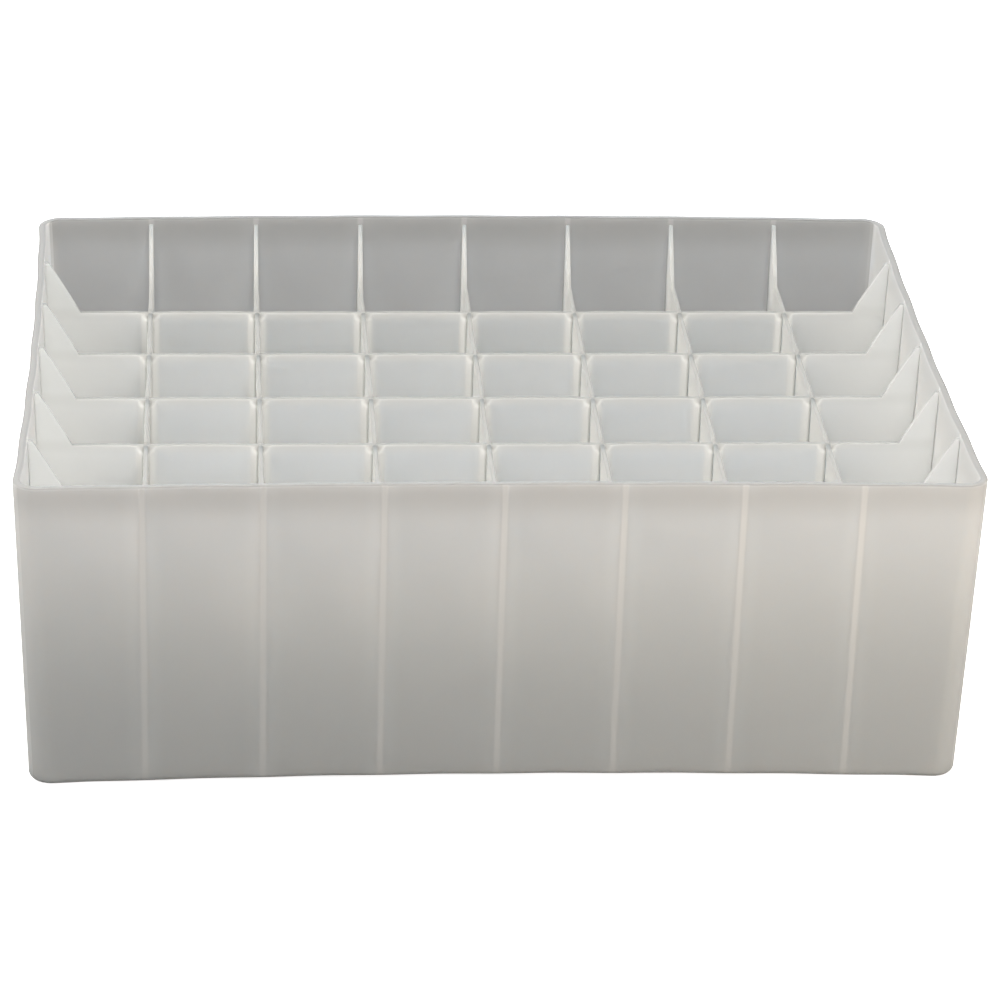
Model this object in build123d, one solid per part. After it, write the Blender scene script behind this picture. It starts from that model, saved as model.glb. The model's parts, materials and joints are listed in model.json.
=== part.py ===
from build123d import *
import os

# Drawer organizer insert: an open tray with tapered walls, split into a grid
# of square cells by thin dividers that interlock with half laps.
# Millimetres. +X is the long side, the front is -Y, +Z is up, and the origin
# is the centre of the underside.

# ---- Driving dimensions ----
RIM_WIDTH = 305.0
RIM_DEPTH = 230.0
HEIGHT = 106.5
WALL = 2.5
FLOOR = 2.5
COLUMNS = 8
ROWS = 6

LONG_LEAN = 0.035        # how far the front and back walls move inwards per mm of drop
SHORT_LEAN = 0.024       # the same for the short walls
SIDE_BOW = 1.5           # how far the short walls curve inwards halfway along
CORNER_RADIUS = 8.0      # upright corners, outside
BASE_RADIUS = 2.0        # under-edge all round, outside
FLOOR_RADIUS = 3.0       # where the walls meet the floor, inside
RIM_RADIUS = 0.8         # both edges of the rim

DIVIDER_DROP = 20.0      # divider tops lie this far below the rim
DIVIDER_THICKNESS = 1.5  # at the divider's top edge
DIVIDER_TAPER = 0.0035   # each face moves out by this per mm of drop
EAR_DROP = 1.5           # the raised ends of a divider stop this far below the rim
EAR_TIP = 1.0            # flat width of a raised end, at its tip
COLUMN_EAR_RUN = 14.0    # length over which a column divider's end rises
CROSS_EAR_RUN = 12.0     # the same for a cross divider

GUIDE_RIB = 2.4          # legs of the ribs that hold a column divider upright in its lap
GUIDE_TOP_DROP = 1.0     # the ribs stop this far below the divider's top edge
GUIDE_FOOT = 4.0         # and this far above the floor

END_GAP = 0.3            # between a divider's end and the wall
LAP_GAP = 0.15           # between a divider's face and the slot it sits in
CROSS_FLOOR_GAP = 0.2    # under a cross divider, which hangs on its laps

# ---- Worked out from the driving dimensions ----
PITCH = (RIM_WIDTH - 2 * WALL) / COLUMNS
ROW_PITCH = (RIM_DEPTH - 2 * WALL) / ROWS
DIVIDER_TOP = HEIGHT - DIVIDER_DROP
EAR_TOP = HEIGHT - EAR_DROP
LAP_HEIGHT = (FLOOR + DIVIDER_TOP) / 2
OVERSHOOT = 10.0         # cutters run this far past what they cut

COLUMN_PLACES = [(i - COLUMNS / 2) * PITCH for i in range(1, COLUMNS)]
CROSS_PLACES = [(ROWS / 2 - i) * ROW_PITCH for i in range(1, ROWS)]


def thickness_at(z):
    """Divider thickness at height z: it widens towards the floor."""
    return DIVIDER_THICKNESS + 2 * DIVIDER_TAPER * (DIVIDER_TOP - z)


def plan_outline(z, inset):
    """Face bounded by the tray's plan shape at height z, `inset` inside the outer skin."""
    half_width = RIM_WIDTH / 2 - SHORT_LEAN * (HEIGHT - z) - inset
    half_depth = RIM_DEPTH / 2 - LONG_LEAN * (HEIGHT - z) - inset
    front_left = (-half_width, -half_depth)
    front_right = (half_width, -half_depth)
    back_right = (half_width, half_depth)
    back_left = (-half_width, half_depth)
    edges = [
        Line(front_left, front_right),
        ThreePointArc(front_right, (half_width - SIDE_BOW, 0), back_right),
        Line(back_right, back_left),
        ThreePointArc(back_left, (SIDE_BOW - half_width, 0), front_left),
    ]
    face = make_face(edges)
    face = fillet(face.vertices(), CORNER_RADIUS - inset)
    return Plane.XY.offset(z) * face


def tapered_block(bottom, top, inset, edge_radius):
    """Solid between two heights that follows the walls' lean, its bottom edge rounded."""
    block = loft([plan_outline(bottom, inset), plan_outline(top, inset)], ruled=True)
    rim_of_base = block.faces().sort_by(Axis.Z)[0].edges()
    return fillet(rim_of_base, edge_radius)


def tray_shell():
    """The outer tray: four leaning walls and a flat floor in one moulding."""
    outside = tapered_block(0, HEIGHT, 0, BASE_RADIUS)
    inside = tapered_block(FLOOR, HEIGHT + OVERSHOOT, WALL, FLOOR_RADIUS)
    shell = outside - inside
    rim_edges = shell.faces().sort_by(Axis.Z)[-1].edges()
    return fillet(rim_edges, RIM_RADIUS)


def divider_blank(half_length, ear_run):
    """Divider in the XZ plane without its slots: level top and a raised ear at each end."""
    ear_in = half_length - EAR_TIP
    ear_foot = half_length - ear_run
    profile = Polyline(
        (-half_length, FLOOR),
        (half_length, FLOOR),
        (half_length, EAR_TOP),
        (ear_in, EAR_TOP),
        (ear_foot, DIVIDER_TOP),
        (-ear_foot, DIVIDER_TOP),
        (-ear_in, EAR_TOP),
        (-half_length, EAR_TOP),
        close=True,
    )
    slab = extrude(Plane.XZ * make_face(profile), amount=OVERSHOOT, both=True)
    half_foot = thickness_at(FLOOR) / 2
    half_tip = thickness_at(EAR_TOP) / 2
    section = Polyline(
        (-half_foot, FLOOR),
        (half_foot, FLOOR),
        (half_tip, EAR_TOP),
        (-half_tip, EAR_TOP),
        close=True,
    )
    wedge = extrude(Plane.YZ * make_face(section), amount=half_length, both=True)
    return slab & wedge


def slot(bottom, top, bottom_width, top_width):
    """Cutter for one half lap: an upright wedge on the Z axis, open along Y."""
    section = Polyline(
        (-bottom_width / 2, bottom),
        (bottom_width / 2, bottom),
        (top_width / 2, top),
        (-top_width / 2, top),
        close=True,
    )
    return extrude(Plane.XZ * make_face(section), amount=OVERSHOOT, both=True)


def guide_ribs():
    """Four upright ribs around a crossing on the Z axis, in the corners between the dividers."""
    ribs = []
    for side_x in (-1, 1):
        for side_y in (-1, 1):
            sections = []
            for z in (FLOOR + GUIDE_FOOT, DIVIDER_TOP - GUIDE_TOP_DROP):
                half = thickness_at(z) / 2
                column_face = half + LAP_GAP
                reach = half + GUIDE_RIB
                corner = Polyline(
                    (side_x * column_face, 0),
                    (side_x * (column_face + reach), 0),
                    (side_x * column_face, side_y * reach),
                    close=True,
                )
                sections.append(Plane.XY.offset(z) * make_face(corner))
            ribs.append(loft(sections, ruled=True))
    return ribs


def column_divider(x):
    """Front-to-back divider at x, with a slot open at the top for each cross divider."""
    half_length = RIM_DEPTH / 2 - WALL
    blank = Location((x, 0, 0), (0, 0, 90)) * divider_blank(half_length, COLUMN_EAR_RUN)
    divider = blank & tapered_block(FLOOR, HEIGHT, WALL + END_GAP, FLOOR_RADIUS)
    width = thickness_at(LAP_HEIGHT) + 2 * LAP_GAP
    cutter = slot(LAP_HEIGHT, EAR_TOP, width, width)
    for y in CROSS_PLACES:
        divider -= Location((x, y, 0), (0, 0, 90)) * cutter
    return divider


def cross_divider(y):
    """Side-to-side divider at y, with a slot open at the bottom for each column divider."""
    half_length = RIM_WIDTH / 2 - WALL
    blank = Location((0, y, 0)) * divider_blank(half_length, CROSS_EAR_RUN)
    envelope = tapered_block(FLOOR + CROSS_FLOOR_GAP, HEIGHT, WALL + END_GAP, FLOOR_RADIUS)
    divider = blank & envelope
    bottom_width = thickness_at(FLOOR) + 2 * LAP_GAP
    top_width = thickness_at(LAP_HEIGHT) + 2 * LAP_GAP
    cutter = slot(FLOOR, LAP_HEIGHT, bottom_width, top_width)
    ribs = guide_ribs()
    for x in COLUMN_PLACES:
        crossing = Location((x, y, 0))
        divider -= crossing * cutter
        divider += [crossing * rib for rib in ribs]
    return divider


def write(shape, node):
    """Write one named piece as parts/NODE.step."""
    piece = shape.solid()
    piece.label = node
    export_step(piece, f"parts/{node}.step")


def main():
    os.makedirs("parts", exist_ok=True)
    write(tray_shell(), "tray_shell")
    for number, x in enumerate(COLUMN_PLACES, start=1):
        write(column_divider(x), f"column_divider_{number}")
    for number, y in enumerate(CROSS_PLACES, start=1):
        write(cross_divider(y), f"cross_divider_{number}")


main()
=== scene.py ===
import json
import math
import random

import bpy
from mathutils import Matrix, Vector


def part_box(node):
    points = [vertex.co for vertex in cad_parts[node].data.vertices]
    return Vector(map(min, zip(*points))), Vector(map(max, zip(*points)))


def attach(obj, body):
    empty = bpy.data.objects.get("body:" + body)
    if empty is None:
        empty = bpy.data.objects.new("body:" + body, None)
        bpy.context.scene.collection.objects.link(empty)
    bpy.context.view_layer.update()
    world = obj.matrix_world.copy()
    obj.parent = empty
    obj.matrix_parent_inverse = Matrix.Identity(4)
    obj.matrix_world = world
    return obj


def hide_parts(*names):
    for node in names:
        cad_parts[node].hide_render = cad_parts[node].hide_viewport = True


# A milky plastic drawer insert: a tray with leaning walls, and a grid of thin
# dividers that lap into each other. Every visible piece is a closed mesh built
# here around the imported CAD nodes, in metres, and rides on their bodies.

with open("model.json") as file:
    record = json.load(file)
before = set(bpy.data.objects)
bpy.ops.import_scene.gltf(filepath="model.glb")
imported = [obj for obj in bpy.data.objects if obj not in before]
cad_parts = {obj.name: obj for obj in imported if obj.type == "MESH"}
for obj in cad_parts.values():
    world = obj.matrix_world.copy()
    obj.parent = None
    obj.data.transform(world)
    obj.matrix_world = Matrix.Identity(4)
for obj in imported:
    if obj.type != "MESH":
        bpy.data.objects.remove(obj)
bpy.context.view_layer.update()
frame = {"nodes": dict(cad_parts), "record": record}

MM = 0.001

# ---- Tray ----
HALF_WIDTH = 152.5 * MM
HALF_DEPTH = 115.0 * MM
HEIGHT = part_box("tray_shell")[1].z
WALL = 2.5 * MM
FLOOR = 2.5 * MM
LONG_LEAN = 0.035          # how far the front and back walls move inwards per unit of drop
SHORT_LEAN = 0.024         # the same for the short walls
SIDE_BOW = 1.5 * MM        # how far the short walls curve inwards halfway along
LONG_BOW = 1.0 * MM        # the same for the long walls, at their foot
CORNER_RADIUS = 8.0 * MM
LEAST_RADIUS = 3.0 * MM    # corners of the mesh rings under and inside the tray
BASE_RADIUS = 2.0 * MM
FLOOR_RADIUS = 3.0 * MM
RIM_RADIUS = 0.8 * MM
RIM_CROWN = 0.05 * MM      # the rim's middle stands above its two roundings
PANEL_SINK = 0.3 * MM      # a wall sinks this far between two dividers
RIM_ARCH = 1.35 * MM       # how far the long walls' rim rises halfway along
FOOT_ARCH = 1.9 * MM       # the same for the foot of the long walls
ARCH_FADE = 12 * MM        # the rise dies out this far under the tray

# Mesh density of the tray.
SIDE_STEPS = 8             # columns per cell along a wall
CORNER_STEPS = 10
WALL_LEVELS = 20
BASE_STEPS = 7
RIM_STEPS = 4
FLOOR_STEPS = 5
UNDER_INSETS = (34 * MM, 20 * MM, 12 * MM, 8 * MM)

# ---- Dividers ----
DIVIDER_DROP = 20.0 * MM   # divider tops lie this far below the rim
DIVIDER_THICKNESS = 1.5 * MM
DIVIDER_TAPER = 0.0035     # each face moves out by this per unit of drop
COLUMN_EAR_RUN = 14 * MM   # length over which a column divider's end rises
CROSS_EAR_RUN = 12 * MM    # the same for a cross divider
EAR_TIP = 0.08             # flat share of a raised end, at its tip
END_GAP = 0.05 * MM        # between a divider's end and the wall
LAP_GAP = -0.12 * MM       # below zero: the guides reach into a column divider, so no dark gap shows
CROSS_FLOOR_GAP = 0.2 * MM
SWAY = 0.22 * MM           # most that a divider bows sideways within a cell
EDGE_ROUND = 0.35 * MM     # rounding of a divider's free edges
EDGE_ANGLES = (30, 60, 90, 120, 150)    # degrees round a free edge, from face to face
EDGE_SQUARENESS = 0.6      # 1 is a round edge, 0 a square one

# The guides are the ribs that hold a column divider upright in its lap.
GUIDE_RIB = 2.4 * MM       # length of their legs
GUIDE_ROUND = 0.12 * MM    # rounding of their edges
GUIDE_TOP_DROP = 0.5 * MM
GUIDE_FOOT = 4.0 * MM
GUIDE_RUN_OUT = 1.2 * MM
GUIDE_LIP = 0.05 * MM      # from a guide's edge to the slot's

# Mesh density of a divider, as shares of the length or height that it divides.
EAR_LINES = (1.0, 0.97, 1 - EAR_TIP, 0.7, 0.45, 0.2)
CELL_STEPS = 5
GUIDE_RAMP = ((1.2, 0.0), (1.0, 0.06), (0.8, 0.22), (0.4, 0.62), (0.0, 1.0))    # (distance, height)
ROWS_BELOW_LAP = (0.0, 0.04, 0.1, 0.2, 0.32, 0.45, 0.6, 0.75, 0.88, 0.96)
ROWS_ABOVE_LAP = (0.0, 0.06, 0.15, 0.3, 0.45, 0.6, 0.72, 0.82, 0.89, 0.93, 0.96, 0.98, 1.0)

# ---- Plastic ----
SCATTER = 16 * MM          # mean free path of light in the plastic
SCATTER_TINT = (1.15, 1.0, 0.9)    # red light travels furthest
IOR = 1.49
SPECULAR = 0.2
ROUGHNESS = (0.55, 0.17)   # least, and the most that the noise adds
CLOUD = (0.96, 0.04)       # the same for the colour
ROUGHNESS_NOISE = 60       # noise scales, per metre
CLOUD_NOISE = 22
GRAIN_NOISE = 1800
GRAIN_DEPTH = 0.05 * MM
GRAIN_STRENGTH = 0.12
EDGE_FACING = (0.15, 0.8)  # upward part of the normal over which a top edge gets its painted shade

# (tint, painted shade on the top edges)
TRAY_LOOK = ((0.645, 0.655, 0.655), 0.60)
# The column and cross dividers are one plastic; the differences between their tints and top-edge shades are
# painted shade.
COLUMN_LOOK = ((0.86, 0.874, 0.856), 0.70)
CROSS_LOOK = ((0.88, 0.885, 0.86), 0.52)

# Lines and bands of painted light: (half width that is fully lit, distance at which it has faded).
SEAM = (0.5 * MM, 1.4 * MM)        # the painted bright line in front of a divider's end
SEAM_HALO = (1.5 * MM, 7 * MM)     # the wider, weaker painted glow round it
GUIDE_PAINTED_LIGHT = (1.5 * MM, 5 * MM)    # painted light, and denser plastic, at a crossing where the guides are
END_PAINTED_LIGHT = (95 * MM, 140 * MM)     # a cross divider gets painted light, and denser plastic, between these distances from its middle
COLUMN_END = (HALF_DEPTH - 24 * MM, HALF_DEPTH - 8 * MM)    # the same for a column divider
TOP_UNDER = (4 * MM, 0.5 * MM)     # a divider's top band (painted shade on the cross dividers, denser plastic on both kinds) comes in between these depths under its top
TOP_OVER = 3 * MM                  # and dies out over this much above it
NEAR_RIM = (14 * MM, 1 * MM)       # drops below the rim between which the painted shade under the long walls' rim and the rim's denser plastic come in
NEAR_FOOT = (5 * MM, 60 * MM)      # heights over which the painted shade at the front's foot dies out
SEAM_DROPS = (65 * MM, 10 * MM)    # drops between which a seam's painted light grows
SEAM_PAINTED_LIGHT = (0.04, 0.26)
SEAM_HEIGHTS = (20 * MM, 80 * MM)  # heights between which a seam gets denser
SEAM_DENSE = (0.55, 1)

# How squarely the surface must face a direction to count as facing it.
FACES_WALL = 0.8
FACES_LONG_WALL = 0.5
FACES_SIDE = 0.6

# Painted light (above 0) and painted shade (below 0) on parts of the tray.
TRAY_PAINTED_LIGHT_AND_SHADE = {
    "halo": 0.05,
    "rim of the long walls": -0.12,
    "foot of the front": -0.07,
    "inside of the back wall": -0.35,
    "outside of the front wall": -0.12,
    "inside of the short walls": 0.09,
    "inside of the left wall": 0.20,
}
RIM_DENSE = 0.5
# Painted light in the cross dividers' bands, and painted shade under their tops.
CROSS_PAINTED_LIGHT, CROSS_TOP_PAINTED_SHADE = 0.09, -0.05
CROSS_LINE_DENSE, CROSS_END_DENSE, CROSS_TOP_DENSE = 0.75, 0.6, 0.75
# Painted shade on a column divider between its raised ends.
COLUMN_MIDDLE_PAINTED_SHADE = 0.72
COLUMN_TOP_DENSE = 0.5

# ---- Studio ----
AIM = (0, 0, 0.06)
SIZE = 0.8
# Soft boxes: (name, place, what it points at, size, power in watts, colour).
BOXES = (
    ("front_box", (0, -0.9, 0.9), AIM, SIZE, 8.8, (1.05, 1.0, 0.95)),
    ("left_box", (-0.9, 0, 0.9), AIM, SIZE, 10.6, (1.04, 1.0, 0.94)),
    ("right_box", (0.9, 0, 0.9), AIM, SIZE, 6.8, (1.03, 1.0, 0.94)),
    ("back_box", (0, 0.9, 0.9), AIM, SIZE, 1.9, (0.86, 1.0, 1.22)),
    ("low_back_box", (0, 1.3, 0.3), AIM, SIZE, 2.4, (0.80, 1.0, 1.28)),
    ("corner_box", (0.26, -0.40, 0.07), (0.13, -0.11, 0.01), 0.14, 0.32, (1.2, 1.0, 0.78)),
)
AIR_LIGHT = 0.07
STUDIO_HALF = 6.0          # half the floor's side
FLOOR_GREY = 0.30          # what lights the tray from below
FLOOR_SEEN_GREY = 0.93     # what the camera sees, with FLOOR_GLOW on top
FLOOR_GLOW = 0.85
CAMERA_PLACE = (-89.53 * MM, -1242.93 * MM, 636.30 * MM)
CAMERA_YAW, CAMERA_PITCH, CAMERA_ROLL = -0.0777, 0.4409, 0.0297    # radians
SENSOR_WIDTH = 36
FOCAL_LENGTH = 4.0299 * SENSOR_WIDTH
SEED = 7

# ---- From the frame ----
COLUMNS = sorted(n for n in frame["nodes"] if n.startswith("column_divider_"))
CROSSES = sorted(n for n in frame["nodes"] if n.startswith("cross_divider_"))
BODY_OF = {n: body for body, nodes in frame["record"]["behaviour"]["bodies"].items() for n in nodes}


def middle(node):
    low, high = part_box(node)
    return (low + high) / 2


COLUMN_X = [middle(n).x for n in COLUMNS]
CROSS_Y = [middle(n).y for n in CROSSES]
PITCH = COLUMN_X[1] - COLUMN_X[0]
DIVIDER_TOP = HEIGHT - DIVIDER_DROP
EAR_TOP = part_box(COLUMNS[0])[1].z
LAP_HEIGHT = (FLOOR + DIVIDER_TOP) / 2


# ---- Shape helpers ----
def smooth(t):
    """0 to 1 as t goes from 0 to 1, level at both ends."""
    t = min(1.0, max(0.0, t))
    return t * t * (3 - 2 * t)


def half_width_at(z):
    return HALF_WIDTH - SHORT_LEAN * (HEIGHT - z)


def half_depth_at(z):
    return HALF_DEPTH - LONG_LEAN * (HEIGHT - z)


def side_bow(y):
    """How far a short wall stands inwards at y, level with the corners' roundings at its ends."""
    return SIDE_BOW * max(0.0, 1 - (y / (HALF_DEPTH - CORNER_RADIUS)) ** 2)


def long_bow(x, z):
    """The same for a long wall, which is straight at the rim and bows at its foot."""
    return LONG_BOW * (1 - z / HEIGHT) * max(0.0, 1 - (x / (HALF_WIDTH - CORNER_RADIUS)) ** 2)


def half_thickness(z):
    return DIVIDER_THICKNESS / 2 + DIVIDER_TAPER * (DIVIDER_TOP - z)


# ---- Mesh helpers ----
def make_piece(name, vertices, faces, body, node, material):
    """One closed, smooth-shaded mesh that stands for a CAD node and rides on its body."""
    mesh = bpy.data.meshes.new(name)
    mesh.from_pydata(vertices, [], faces)
    mesh.validate()
    for polygon in mesh.polygons:
        polygon.use_smooth = True
    mesh.update()
    piece = bpy.data.objects.new(name, mesh)
    bpy.context.scene.collection.objects.link(piece)
    mesh.materials.append(material)
    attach(piece, body)
    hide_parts(node)


# ---- Tray ----
def outline(z, inset):
    """Plan outline at height z, `inset` inside the skin, anticlockwise from the front wall's left end."""
    half_width = half_width_at(z) - inset
    half_depth = half_depth_at(z) - inset
    radius = max(LEAST_RADIUS, CORNER_RADIUS - inset)
    points = []
    along_x = len(COLUMNS) + 1
    along_y = len(CROSSES) + 1
    sides = [
        (Vector((0, -1)), Vector((1, 0)), half_width, half_depth, along_x),
        (Vector((1, 0)), Vector((0, 1)), half_depth, half_width, along_y),
        (Vector((0, 1)), Vector((-1, 0)), half_width, half_depth, along_x),
        (Vector((-1, 0)), Vector((0, -1)), half_depth, half_width, along_y),
    ]
    for number, (normal, along, half_length, distance, cells) in enumerate(sides):
        run = half_length - radius
        steps = cells * SIDE_STEPS
        for i in range(steps + 1):
            s = -run + 2 * run * i / steps
            inward = PANEL_SINK * (1 - math.cos(2 * math.pi * s / PITCH)) / 2
            inward *= smooth((run - abs(s)) / CORNER_RADIUS)
            inward += side_bow(s) if number % 2 else long_bow(s, z)
            point = along * s + normal * (distance - inward)
            points.append((point.x, point.y))
        centre = along * run + normal * (distance - radius)
        for i in range(1, CORNER_STEPS):
            angle = math.pi / 2 * i / CORNER_STEPS
            point = centre + radius * (normal * math.cos(angle) + along * math.sin(angle))
            points.append((point.x, point.y))
    return points


def quarter(radius, steps, start, end):
    """Points of a circle from one angle to another, in degrees."""
    angles = [math.radians(start + (end - start) * i / steps) for i in range(steps + 1)]
    return [(radius * math.cos(a), radius * math.sin(a)) for a in angles]


def tray_profile():
    """(inset from the skin, height) from the underside, up the outside, over the rim, to the floor."""
    top = HEIGHT - RIM_RADIUS
    corner_z = FLOOR + FLOOR_RADIUS
    levels = [i / WALL_LEVELS for i in range(1, WALL_LEVELS)]
    profile = [(inset, 0.0) for inset in UNDER_INSETS]
    profile += [(BASE_RADIUS + x, BASE_RADIUS + z) for x, z in quarter(BASE_RADIUS, BASE_STEPS, 270, 180)]
    profile += [(0.0, BASE_RADIUS + (top - BASE_RADIUS) * level) for level in levels]
    profile += [(RIM_RADIUS + x, top + z) for x, z in quarter(RIM_RADIUS, RIM_STEPS, 180, 90)]
    profile += [(WALL / 2, HEIGHT + RIM_CROWN)]
    profile += [(WALL - RIM_RADIUS + x, top + z) for x, z in quarter(RIM_RADIUS, RIM_STEPS, 90, 0)]
    profile += [(WALL, top + (corner_z - top) * level) for level in levels]
    turn = quarter(FLOOR_RADIUS, FLOOR_STEPS, 180, 270)
    profile += [(WALL + FLOOR_RADIUS + x, corner_z + z) for x, z in turn]
    return profile


def arch(x, y, z, inner):
    """Rise of the long walls halfway along: the rim and the outer under-edge, not the floor."""
    if abs(y) < HALF_DEPTH / 2:
        return 0.0
    share = 1 - (x / HALF_WIDTH) ** 2
    if inner:
        return RIM_ARCH * share * smooth(z / HEIGHT * 2 - 1)
    rise = FOOT_ARCH + (RIM_ARCH - FOOT_ARCH) * z / HEIGHT
    edge = half_depth_at(z) - LONG_BOW
    return rise * share * smooth((abs(y) - edge + ARCH_FADE) / (ARCH_FADE - BASE_RADIUS - LONG_BOW))


def fan(centre, ring, facing_down):
    """Triangles that close a ring around its middle point."""
    faces = []
    for i, here in enumerate(ring):
        after = ring[(i + 1) % len(ring)]
        faces.append((after, here, centre) if facing_down else (here, after, centre))
    return faces


def build_tray(material):
    """The tray: rings of points along its profile, closed by a fan below and one on the floor."""
    profile = tray_profile()
    vertices, rings = [], []
    for level, (inset, z) in enumerate(profile):
        inner = inset >= WALL and level > len(profile) / 2
        ring = []
        for x, y in outline(z, inset):
            ring.append(len(vertices))
            vertices.append((x, y, z + arch(x, y, z, inner)))
        rings.append(ring)
    count = len(rings[0])
    faces = []
    for lower, upper in zip(rings, rings[1:]):
        for i in range(count):
            j = (i + 1) % count
            faces.append((lower[i], lower[j], upper[j], upper[i]))
    for ring, z, facing_down in ((rings[0], 0.0, True), (rings[-1], FLOOR, False)):
        vertices.append((0.0, 0.0, z))
        faces += fan(len(vertices) - 1, ring, facing_down)
    make_piece("tray", vertices, faces, BODY_OF["tray_shell"], "tray_shell", material)


# ---- Dividers ----
class Line:
    """One upright mesh line of a divider: where it is along the divider at height z, and its top."""

    def __init__(self, along, top=DIVIDER_TOP, guide=0.0, sway=0.0, rounding=EDGE_ROUND):
        self.along = along
        self.top = top
        self.guide = guide
        self.sway = sway
        self.rounding = rounding


def guide_size(z):
    """Share of full size that a guide has at height z: it runs out at its top and its foot."""
    top = smooth((DIVIDER_TOP - GUIDE_TOP_DROP - z) / GUIDE_RUN_OUT)
    foot = smooth((z - FLOOR - GUIDE_FOOT) / GUIDE_RUN_OUT)
    return top * foot


def divider_lines(half_inner, ear_run, crossings, guides, end_at, rng):
    """The upright lines of a divider from end to end, and which gaps between them are slots."""
    foot = half_inner - ear_run
    lines, slots = [], []

    def ear_line(side, share):
        rise = min(1.0, share / (1 - EAR_TIP))
        top = DIVIDER_TOP + (EAR_TOP - DIVIDER_TOP) * rise
        return Line(lambda z: side * (foot + (end_at(z) - EDGE_ROUND - foot) * share), top)

    def plain(place, sway=0.0):
        return Line(lambda z: place, sway=sway)

    for share in EAR_LINES:
        lines.append(ear_line(-1, share))
    lines.append(plain(-foot))
    stops = [-foot] + list(crossings) + [foot]
    for number, (start, end) in enumerate(zip(stops, stops[1:])):
        bow = rng.uniform(-1, 1) * SWAY
        for i in range(1, CELL_STEPS):
            share = i / CELL_STEPS
            lines.append(plain(start + (end - start) * share, bow * math.sin(math.pi * share) ** 2))
        if number < len(crossings):
            slots.append(add_crossing(lines, end, guides))
    lines.append(plain(foot))
    for share in reversed(EAR_LINES):
        lines.append(ear_line(1, share))
    return lines, slots


def add_crossing(lines, place, guides):
    """Adds a crossing's lines and returns the (first, last) line numbers of its slot."""
    if not guides:
        half = half_thickness(LAP_HEIGHT) + LAP_GAP + EDGE_ROUND
        lines.append(Line(lambda z: place - half))
        lines.append(Line(lambda z: place + half))
        return len(lines) - 2, len(lines) - 1

    def at(side, share, lip=0.0):
        reach = share * GUIDE_RIB - lip
        return lambda z: place + side * (half_thickness(z) + LAP_GAP + GUIDE_ROUND + reach)

    for share, height in GUIDE_RAMP:
        lines.append(Line(at(-1, share), guide=height, rounding=GUIDE_ROUND))
    first = len(lines) - 1
    lines.append(Line(at(-1, 0.0, GUIDE_LIP)))
    lines.append(Line(at(1, 0.0, GUIDE_LIP)))
    last = len(lines)
    for share, height in reversed(GUIDE_RAMP):
        lines.append(Line(at(1, share), guide=height, rounding=GUIDE_ROUND))
    return first, last


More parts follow.
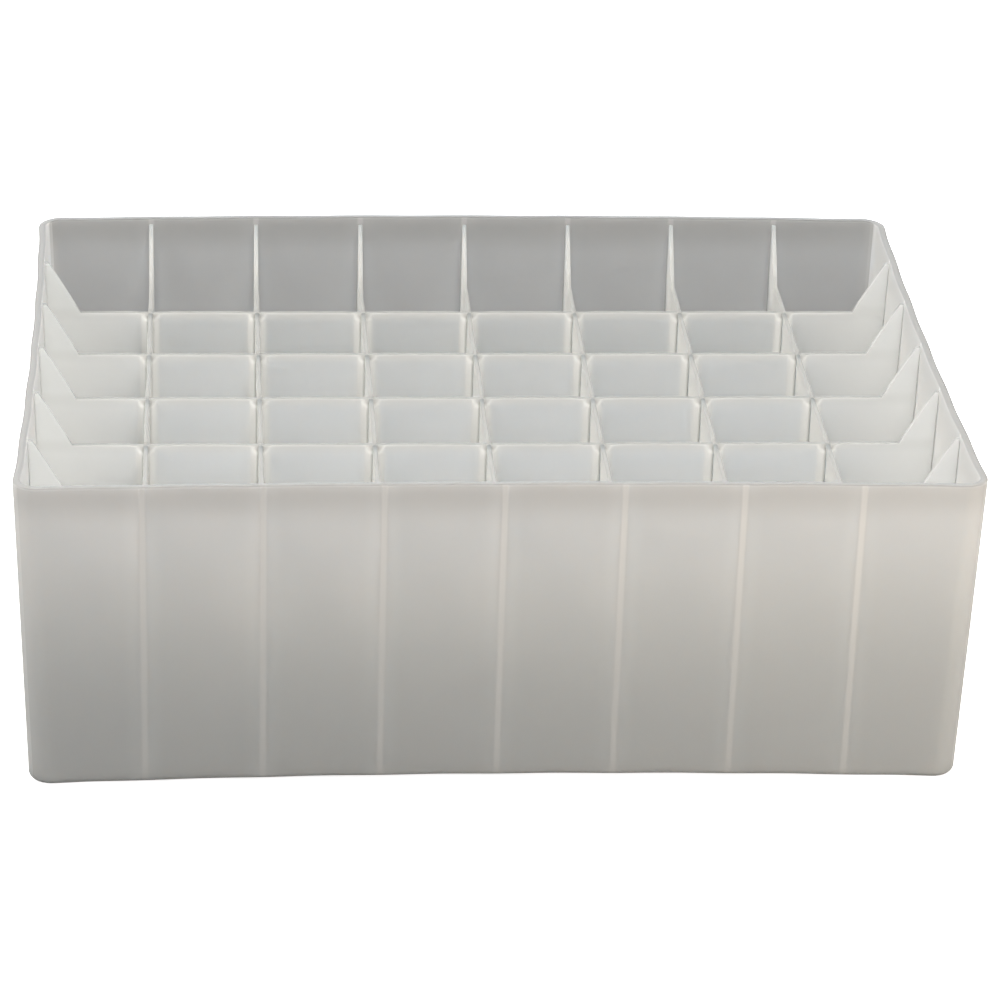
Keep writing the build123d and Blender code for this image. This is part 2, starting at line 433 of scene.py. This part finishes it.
class Divider:
    """Closed mesh of one divider: two sheets on a grid of lines and rows, joined round their free edges."""

    def __init__(self, lines, slots, slots_open_down, place):
        """place(u, w, z) puts a point's length, thickness and height in the frame."""
        self.lines = lines
        self.slots = slots
        self.slots_open_down = slots_open_down
        self.place = place
        self.bottom = FLOOR + EDGE_ROUND + (CROSS_FLOOR_GAP if slots_open_down else 0.0)
        self.lap = LAP_HEIGHT + (EDGE_ROUND if slots_open_down else -EDGE_ROUND)
        self.lap_row = len(ROWS_BELOW_LAP)
        self.row_count = len(ROWS_BELOW_LAP) + len(ROWS_ABOVE_LAP)
        self.vertices, self.faces, self.index = [], [], {}
        self.join_sheets(self.add_sheets())

    def position(self, i, j):
        """(length, height, half thickness, sway) where line i meets row j."""
        line = self.lines[i]
        if j < self.lap_row:
            z = self.bottom + (self.lap - self.bottom) * ROWS_BELOW_LAP[j]
        else:
            z = self.lap + (line.top - EDGE_ROUND - self.lap) * ROWS_ABOVE_LAP[j - self.lap_row]
        thick = half_thickness(z) + line.guide * GUIDE_RIB * guide_size(z)
        sway = line.sway * smooth((z - self.bottom) / (self.lap - self.bottom))
        return line.along(z), z, thick, sway

    def is_open(self, i, j):
        """True where a slot, or nothing, is."""
        if i < 0 or j < 0 or i >= len(self.lines) - 1 or j >= self.row_count - 1:
            return True
        in_half = j < self.lap_row if self.slots_open_down else j >= self.lap_row
        return in_half and any(first <= i < last for first, last in self.slots)

    def vertex(self, key, along, across, z):
        """Number of the vertex that `key` stands for, which is made on its first use."""
        if key not in self.index:
            self.index[key] = len(self.vertices)
            self.vertices.append(self.place(along, across, z))
        return self.index[key]

    def sheet_vertex(self, i, j, side):
        u, z, thick, sway = self.position(i, j)
        return self.vertex((i, j, side), u, sway + side * thick, z)

    def add_sheets(self):
        """Adds the faces of both sheets and returns the free edges as pairs of (line, row)."""
        edges = []
        for i in range(len(self.lines) - 1):
            for j in range(self.row_count - 1):
                if self.is_open(i, j):
                    continue
                loop = [(i, j), (i + 1, j), (i + 1, j + 1), (i, j + 1)]
                self.faces.append(tuple(self.sheet_vertex(a, b, -1) for a, b in loop))
                self.faces.append(tuple(self.sheet_vertex(a, b, 1) for a, b in reversed(loop)))
                neighbours = [(i, j - 1), (i + 1, j), (i, j + 1), (i - 1, j)]
                for start, end, neighbour in zip(loop, loop[1:] + loop[:1], neighbours):
                    if self.is_open(*neighbour):
                        edges.append((start, end))
        return edges

    def outward_directions(self, edges):
        """Unit direction (along, up) out of the divider at each point of its free edges."""
        outward = {}
        for a, b in edges:
            ua, za = self.position(*a)[:2]
            ub, zb = self.position(*b)[:2]
            normal = Vector((zb - za, ua - ub))
            if normal.length > 0:
                normal.normalize()
            for key in (a, b):
                outward[key] = outward.get(key, Vector((0, 0))) + normal
        return {key: total.normalized() for key, total in outward.items()}

    def edge_vertex(self, key, step, outward):
        """Vertex `step` steps round a free edge, from one sheet over to the other."""
        if step == 0:
            return self.sheet_vertex(*key, -1)
        if step == len(EDGE_ANGLES) + 1:
            return self.sheet_vertex(*key, 1)
        angle = math.radians(EDGE_ANGLES[step - 1])
        u, z, thick, sway = self.position(*key)
        across = -math.copysign(abs(math.cos(angle)) ** EDGE_SQUARENESS, math.cos(angle)) * thick
        out = abs(math.sin(angle)) ** EDGE_SQUARENESS * self.lines[key[0]].rounding
        return self.vertex((*key, "edge", step), u + outward.x * out, sway + across, z + outward.y * out)

    def join_sheets(self, edges):
        """Adds the rounded faces along the free edges."""
        outward = self.outward_directions(edges)
        for a, b in edges:
            for step in range(len(EDGE_ANGLES) + 1):
                self.faces.append((
                    self.edge_vertex(b, step, outward[b]),
                    self.edge_vertex(a, step, outward[a]),
                    self.edge_vertex(a, step + 1, outward[a]),
                    self.edge_vertex(b, step + 1, outward[b]),
                ))


def build_divider(node, slots_open_down, half_inner, ear_run, crossings, end_at, place, rng, material):
    """A divider whose slots open downwards carries the guides."""
    lines, slots = divider_lines(half_inner, ear_run, crossings, slots_open_down, end_at, rng)
    divider = Divider(lines, slots, slots_open_down, place)
    name = node.replace("divider", "panel")
    make_piece(name, divider.vertices, divider.faces, BODY_OF[node], node, material)


def floor_clearance(z):
    """How far a divider's lower corner keeps off the rounding between wall and floor."""
    up = z - FLOOR
    if up >= FLOOR_RADIUS:
        return 0.0
    return FLOOR_RADIUS - math.sqrt(max(0.0, FLOOR_RADIUS ** 2 - (FLOOR_RADIUS - up) ** 2))


def build_columns(material, rng):
    crossings = sorted(CROSS_Y)
    half_inner = HALF_DEPTH - WALL
    for node, x in zip(COLUMNS, COLUMN_X):
        def end_at(z, x=x):
            return half_depth_at(z) - WALL - long_bow(x, z) - END_GAP - floor_clearance(z)

        def place(u, w, z, x=x):
            return (x - w, u, z)

        build_divider(node, False, half_inner, COLUMN_EAR_RUN, crossings, end_at, place, rng, material)


def build_crosses(material, rng):
    crossings = sorted(COLUMN_X)
    for node, y in zip(CROSSES, CROSS_Y):
        half_inner = HALF_WIDTH - WALL - side_bow(y)

        def end_at(z, y=y):
            return half_width_at(z) - WALL - side_bow(y) - END_GAP - floor_clearance(z)

        def place(u, w, z, y=y):
            return (u, y + w, z)

        build_divider(node, True, half_inner, CROSS_EAR_RUN, crossings, end_at, place, rng, material)


# ---- Materials ----
def math_nodes(tree):
    """A function that adds a Math node to the tree and returns its output."""
    def calc(operation, *values):
        node = tree.nodes.new("ShaderNodeMath")
        node.operation = operation
        for socket, value in zip(node.inputs, values):
            if isinstance(value, (int, float)):
                socket.default_value = value
            else:
                tree.links.new(value, socket)
        return node.outputs[0]

    return calc


def fade(tree, value, start, end, before, after):
    """`before` until value reaches start, then smoothly to `after` at end."""
    node = tree.nodes.new("ShaderNodeMapRange")
    node.interpolation_type = "SMOOTHSTEP"
    tree.links.new(value, node.inputs["Value"])
    node.inputs["From Min"].default_value = start
    node.inputs["From Max"].default_value = end
    node.inputs["To Min"].default_value = before
    node.inputs["To Max"].default_value = after
    return node.outputs["Result"]


def noise(tree, vector, scale, detail):
    node = tree.nodes.new("ShaderNodeTexNoise")
    node.inputs["Scale"].default_value = scale
    node.inputs["Detail"].default_value = detail
    tree.links.new(vector, node.inputs["Vector"])
    return node.outputs["Fac"]


def separate(tree, vector):
    node = tree.nodes.new("ShaderNodeSeparateXYZ")
    tree.links.new(vector, node.inputs["Vector"])
    return node.outputs


def near_lines(tree, distance, cells, width):
    """1 close to the places of the dividers between `cells` cells along a wall, 0 elsewhere."""
    calc = math_nodes(tree)
    from_middle = calc("ABSOLUTE", distance)
    line = fade(tree, calc("PINGPONG", from_middle, PITCH / 2), *width, 1, 0)
    return calc("MULTIPLY", line, calc("LESS_THAN", from_middle, (cells - 1) * PITCH / 2))


def tray_shade(tree, coordinates):
    """(shade, density) of the tray: painted bright lines in front of the dividers' ends, and painted light
    and shade on each wall.
    """
    calc = math_nodes(tree)
    place = separate(tree, coordinates.outputs["Object"])
    normal = separate(tree, coordinates.outputs["Normal"])
    seam, halo = 0, 0
    # Painted bright lines in front of the dividers' ends, and a painted halo round them.
    for along, facing, cells in (("X", "Y", len(COLUMNS) + 1), ("Y", "X", len(CROSSES) + 1)):
        on_wall = calc("GREATER_THAN", calc("ABSOLUTE", normal[facing]), FACES_WALL)
        seam = calc("MULTIPLY_ADD", near_lines(tree, place[along], cells, SEAM), on_wall, seam)
        halo = calc("MULTIPLY_ADD", near_lines(tree, place[along], cells, SEAM_HALO), on_wall, halo)
    long_wall = calc("GREATER_THAN", calc("ABSOLUTE", normal["Y"]), FACES_LONG_WALL)
    near_rim = fade(tree, place["Z"], HEIGHT - NEAR_RIM[0], HEIGHT - NEAR_RIM[1], 0, 1)
    near_foot = fade(tree, place["Z"], *NEAR_FOOT, 1, 0)
    faces_front = calc("LESS_THAN", normal["Y"], -FACES_SIDE)
    front_outside = calc("MULTIPLY", calc("LESS_THAN", place["Y"], 0), faces_front)
    side_inside = calc("LESS_THAN", calc("MULTIPLY", place["X"], normal["X"]), -FACES_SIDE * HALF_WIDTH)
    masks = {
        "halo": halo,
        "rim of the long walls": calc("MULTIPLY", near_rim, long_wall),
        "foot of the front": calc("MULTIPLY", near_foot, front_outside),
        "inside of the back wall": calc("MULTIPLY", calc("GREATER_THAN", place["Y"], 0), faces_front),
        "outside of the front wall": front_outside,
        "inside of the short walls": side_inside,
        "inside of the left wall": calc("MULTIPLY", side_inside, calc("LESS_THAN", place["X"], 0)),
    }
    shade = 1
    for name, mask in masks.items():
        shade = calc("MULTIPLY", shade, calc("MULTIPLY_ADD", mask, TRAY_PAINTED_LIGHT_AND_SHADE[name], 1))
    # The seams' painted light grows towards the rim.
    seam_paint = fade(tree, place["Z"], HEIGHT - SEAM_DROPS[0], HEIGHT - SEAM_DROPS[1], *SEAM_PAINTED_LIGHT)
    shade = calc("MULTIPLY", shade, calc("MULTIPLY_ADD", seam, seam_paint, 1))
    seam_dense = calc("MULTIPLY", seam, fade(tree, place["Z"], *SEAM_HEIGHTS, *SEAM_DENSE))
    return shade, calc("MAXIMUM", seam_dense, calc("MULTIPLY", near_rim, RIM_DENSE))


def top_band(tree, place):
    """1 just under and above a divider's level top, 0 elsewhere."""
    under = fade(tree, place["Z"], DIVIDER_TOP - TOP_UNDER[0], DIVIDER_TOP - TOP_UNDER[1], 0, 1)
    over = fade(tree, place["Z"], DIVIDER_TOP, DIVIDER_TOP + TOP_OVER, 1, 0)
    return math_nodes(tree)("MULTIPLY", under, over)


def cross_shade(tree, coordinates):
    """(shade, density) of the cross dividers: painted light in bands where the guides are and towards their
    ends, and painted shade under their tops.
    """
    calc = math_nodes(tree)
    place = separate(tree, coordinates.outputs["Object"])
    line = near_lines(tree, place["X"], len(COLUMNS) + 1, GUIDE_PAINTED_LIGHT)
    end = fade(tree, calc("ABSOLUTE", place["X"]), *END_PAINTED_LIGHT, 0, 1)
    top = top_band(tree, place)
    shade = calc("MULTIPLY_ADD", calc("MAXIMUM", line, end), CROSS_PAINTED_LIGHT, 1)
    shade = calc("MULTIPLY", shade, calc("MULTIPLY_ADD", top, CROSS_TOP_PAINTED_SHADE, 1))
    dense = calc("MAXIMUM", calc("MULTIPLY", line, CROSS_LINE_DENSE), calc("MULTIPLY", end, CROSS_END_DENSE))
    return shade, calc("MAXIMUM", dense, calc("MULTIPLY", top, CROSS_TOP_DENSE))


def column_shade(tree, coordinates):
    """(shade, density) of the column dividers: painted shade between their raised ends."""
    calc = math_nodes(tree)
    place = separate(tree, coordinates.outputs["Object"])
    shade = fade(tree, calc("ABSOLUTE", place["Y"]), *COLUMN_END, COLUMN_MIDDLE_PAINTED_SHADE, 1)
    return shade, calc("MULTIPLY", top_band(tree, place), COLUMN_TOP_DENSE)


def milky_plastic(name, tint, painted_top_shade, local):
    """Natural polypropylene: light scatters in its thin walls and partly passes them; satin, fine grain.

    local(tree, coordinates) gives the piece's painted light and shade, and how dense it is: less light enters
    there.
    """
    material = bpy.data.materials.new(name)
    material.use_nodes = True
    tree = material.node_tree
    surface = tree.nodes["Principled BSDF"]
    calc = math_nodes(tree)
    coordinates = tree.nodes.new("ShaderNodeTexCoord")
    position = coordinates.outputs["Object"]
    height = separate(tree, position)["Z"]
    facing_up = separate(tree, coordinates.outputs["Normal"])["Z"]

    least, most = CLOUD
    cloud = calc("MULTIPLY_ADD", noise(tree, position, CLOUD_NOISE, 3), most, least)
    above_floor = fade(tree, height, 2 * FLOOR, 3 * FLOOR, 0, 1)
    # Painted shade on the top edges and rim that face up, above the floor.
    edge = fade(tree, calc("MULTIPLY", facing_up, above_floor), *EDGE_FACING, 1, painted_top_shade)
    painted_light_and_shade, dense = local(tree, coordinates)
    # The colour: random cloud, painted shade on the top edges, and the piece's painted light and shade.
    shade = calc("MULTIPLY", calc("MULTIPLY", cloud, edge), painted_light_and_shade)
    colour = tree.nodes.new("ShaderNodeVectorMath")
    colour.operation = "SCALE"
    colour.inputs["Vector"].default_value = tint
    tree.links.new(shade, colour.inputs["Scale"])
    tree.links.new(colour.outputs["Vector"], surface.inputs["Base Color"])

    least, most = ROUGHNESS
    roughness = calc("MULTIPLY_ADD", noise(tree, position, ROUGHNESS_NOISE, 4), most, least)
    tree.links.new(roughness, surface.inputs["Roughness"])
    bump = tree.nodes.new("ShaderNodeBump")
    bump.inputs["Strength"].default_value = GRAIN_STRENGTH
    bump.inputs["Distance"].default_value = GRAIN_DEPTH
    tree.links.new(noise(tree, position, GRAIN_NOISE, 2), bump.inputs["Height"])
    tree.links.new(bump.outputs["Normal"], surface.inputs["Normal"])

    tree.links.new(calc("SUBTRACT", 1, dense), surface.inputs["Subsurface Weight"])
    surface.inputs["Subsurface Radius"].default_value = SCATTER_TINT
    surface.inputs["Subsurface Scale"].default_value = SCATTER
    surface.inputs["IOR"].default_value = IOR
    surface.inputs["Specular IOR Level"].default_value = SPECULAR
    return material


def grey(level):
    return (level, level, level, 1)


def floor_material():
    """Pale studio floor, blown out for the camera only, so that it doesn't light the walls from below."""
    material = bpy.data.materials.new("studio_floor")
    material.use_nodes = True
    tree = material.node_tree
    surface = tree.nodes["Principled BSDF"]
    surface.inputs["Roughness"].default_value = 0.9
    surface.inputs["Specular IOR Level"].default_value = 0.1
    surface.inputs["Emission Color"].default_value = grey(1)
    seen = tree.nodes.new("ShaderNodeLightPath").outputs["Is Camera Ray"]
    colour = tree.nodes.new("ShaderNodeMixRGB")
    colour.inputs["Color1"].default_value = grey(FLOOR_GREY)
    colour.inputs["Color2"].default_value = grey(FLOOR_SEEN_GREY)
    tree.links.new(seen, colour.inputs["Fac"])
    tree.links.new(colour.outputs["Color"], surface.inputs["Base Color"])
    glow = math_nodes(tree)("MULTIPLY", seen, FLOOR_GLOW)
    tree.links.new(glow, surface.inputs["Emission Strength"])
    return material


# ---- Studio ----
def build_floor():
    side = STUDIO_HALF
    mesh = bpy.data.meshes.new("studio_floor")
    corners = [(-side, -side, 0), (side, -side, 0), (side, side, 0), (-side, side, 0)]
    mesh.from_pydata(corners, [], [(0, 1, 2, 3)])
    mesh.materials.append(floor_material())
    floor = bpy.data.objects.new("studio_floor", mesh)
    bpy.context.scene.collection.objects.link(floor)


def soft_box(name, place, target, size, power, colour):
    """A round soft box, out of the camera's sight."""
    data = bpy.data.lights.new(name, "AREA")
    data.shape = "DISK"
    data.size = size
    data.energy = power
    data.color = colour
    light = bpy.data.objects.new(name, data)
    light.location = place
    direction = Vector(target) - Vector(place)
    light.rotation_euler = direction.to_track_quat("-Z", "Y").to_euler()
    light.visible_camera = False
    bpy.context.scene.collection.objects.link(light)


def build_lights():
    """Four soft boxes round the tray, a low one behind it, and a small warm one by its front right corner."""
    for box in BOXES:
        soft_box(*box)


def build_world():
    """Even air light, which the camera sees as a white backdrop."""
    world = bpy.data.worlds.new("studio_air")
    world.use_nodes = True
    tree = world.node_tree
    background = tree.nodes["Background"]
    background.inputs["Color"].default_value = grey(1)
    path = tree.nodes.new("ShaderNodeLightPath")
    seen = math_nodes(tree)("MAXIMUM", path.outputs["Is Camera Ray"], AIR_LIGHT)
    tree.links.new(seen, background.inputs["Strength"])
    bpy.context.scene.world = world


def build_camera():
    """Long lens from the front, a little left of the middle, looking down over the front wall."""
    place = Vector(CAMERA_PLACE)
    turn = Matrix.Rotation(CAMERA_YAW, 3, "Z")
    right = turn @ Vector((1, 0, 0))
    ahead = turn @ Vector((0, math.cos(CAMERA_PITCH), -math.sin(CAMERA_PITCH)))
    up = turn @ Vector((0, math.sin(CAMERA_PITCH), math.cos(CAMERA_PITCH)))
    tilted_right = math.cos(CAMERA_ROLL) * right + math.sin(CAMERA_ROLL) * up
    tilted_up = math.cos(CAMERA_ROLL) * up - math.sin(CAMERA_ROLL) * right
    data = bpy.data.cameras.new("camera")
    data.sensor_width = SENSOR_WIDTH
    data.lens = FOCAL_LENGTH
    camera = bpy.data.objects.new("camera", data)
    camera.matrix_world = Matrix((
        (tilted_right.x, tilted_up.x, -ahead.x, place.x),
        (tilted_right.y, tilted_up.y, -ahead.y, place.y),
        (tilted_right.z, tilted_up.z, -ahead.z, place.z),
        (0, 0, 0, 1),
    ))
    bpy.context.scene.collection.objects.link(camera)
    bpy.context.scene.camera = camera


# ---- Everything together ----
rng = random.Random(SEED)
build_tray(milky_plastic("tray_plastic", *TRAY_LOOK, tray_shade))
build_columns(milky_plastic("column_plastic", *COLUMN_LOOK, column_shade), rng)
build_crosses(milky_plastic("cross_plastic", *CROSS_LOOK, cross_shade), rng)
build_floor()
build_world()
build_lights()
build_camera()
bpy.context.scene.view_settings.view_transform = "Standard"
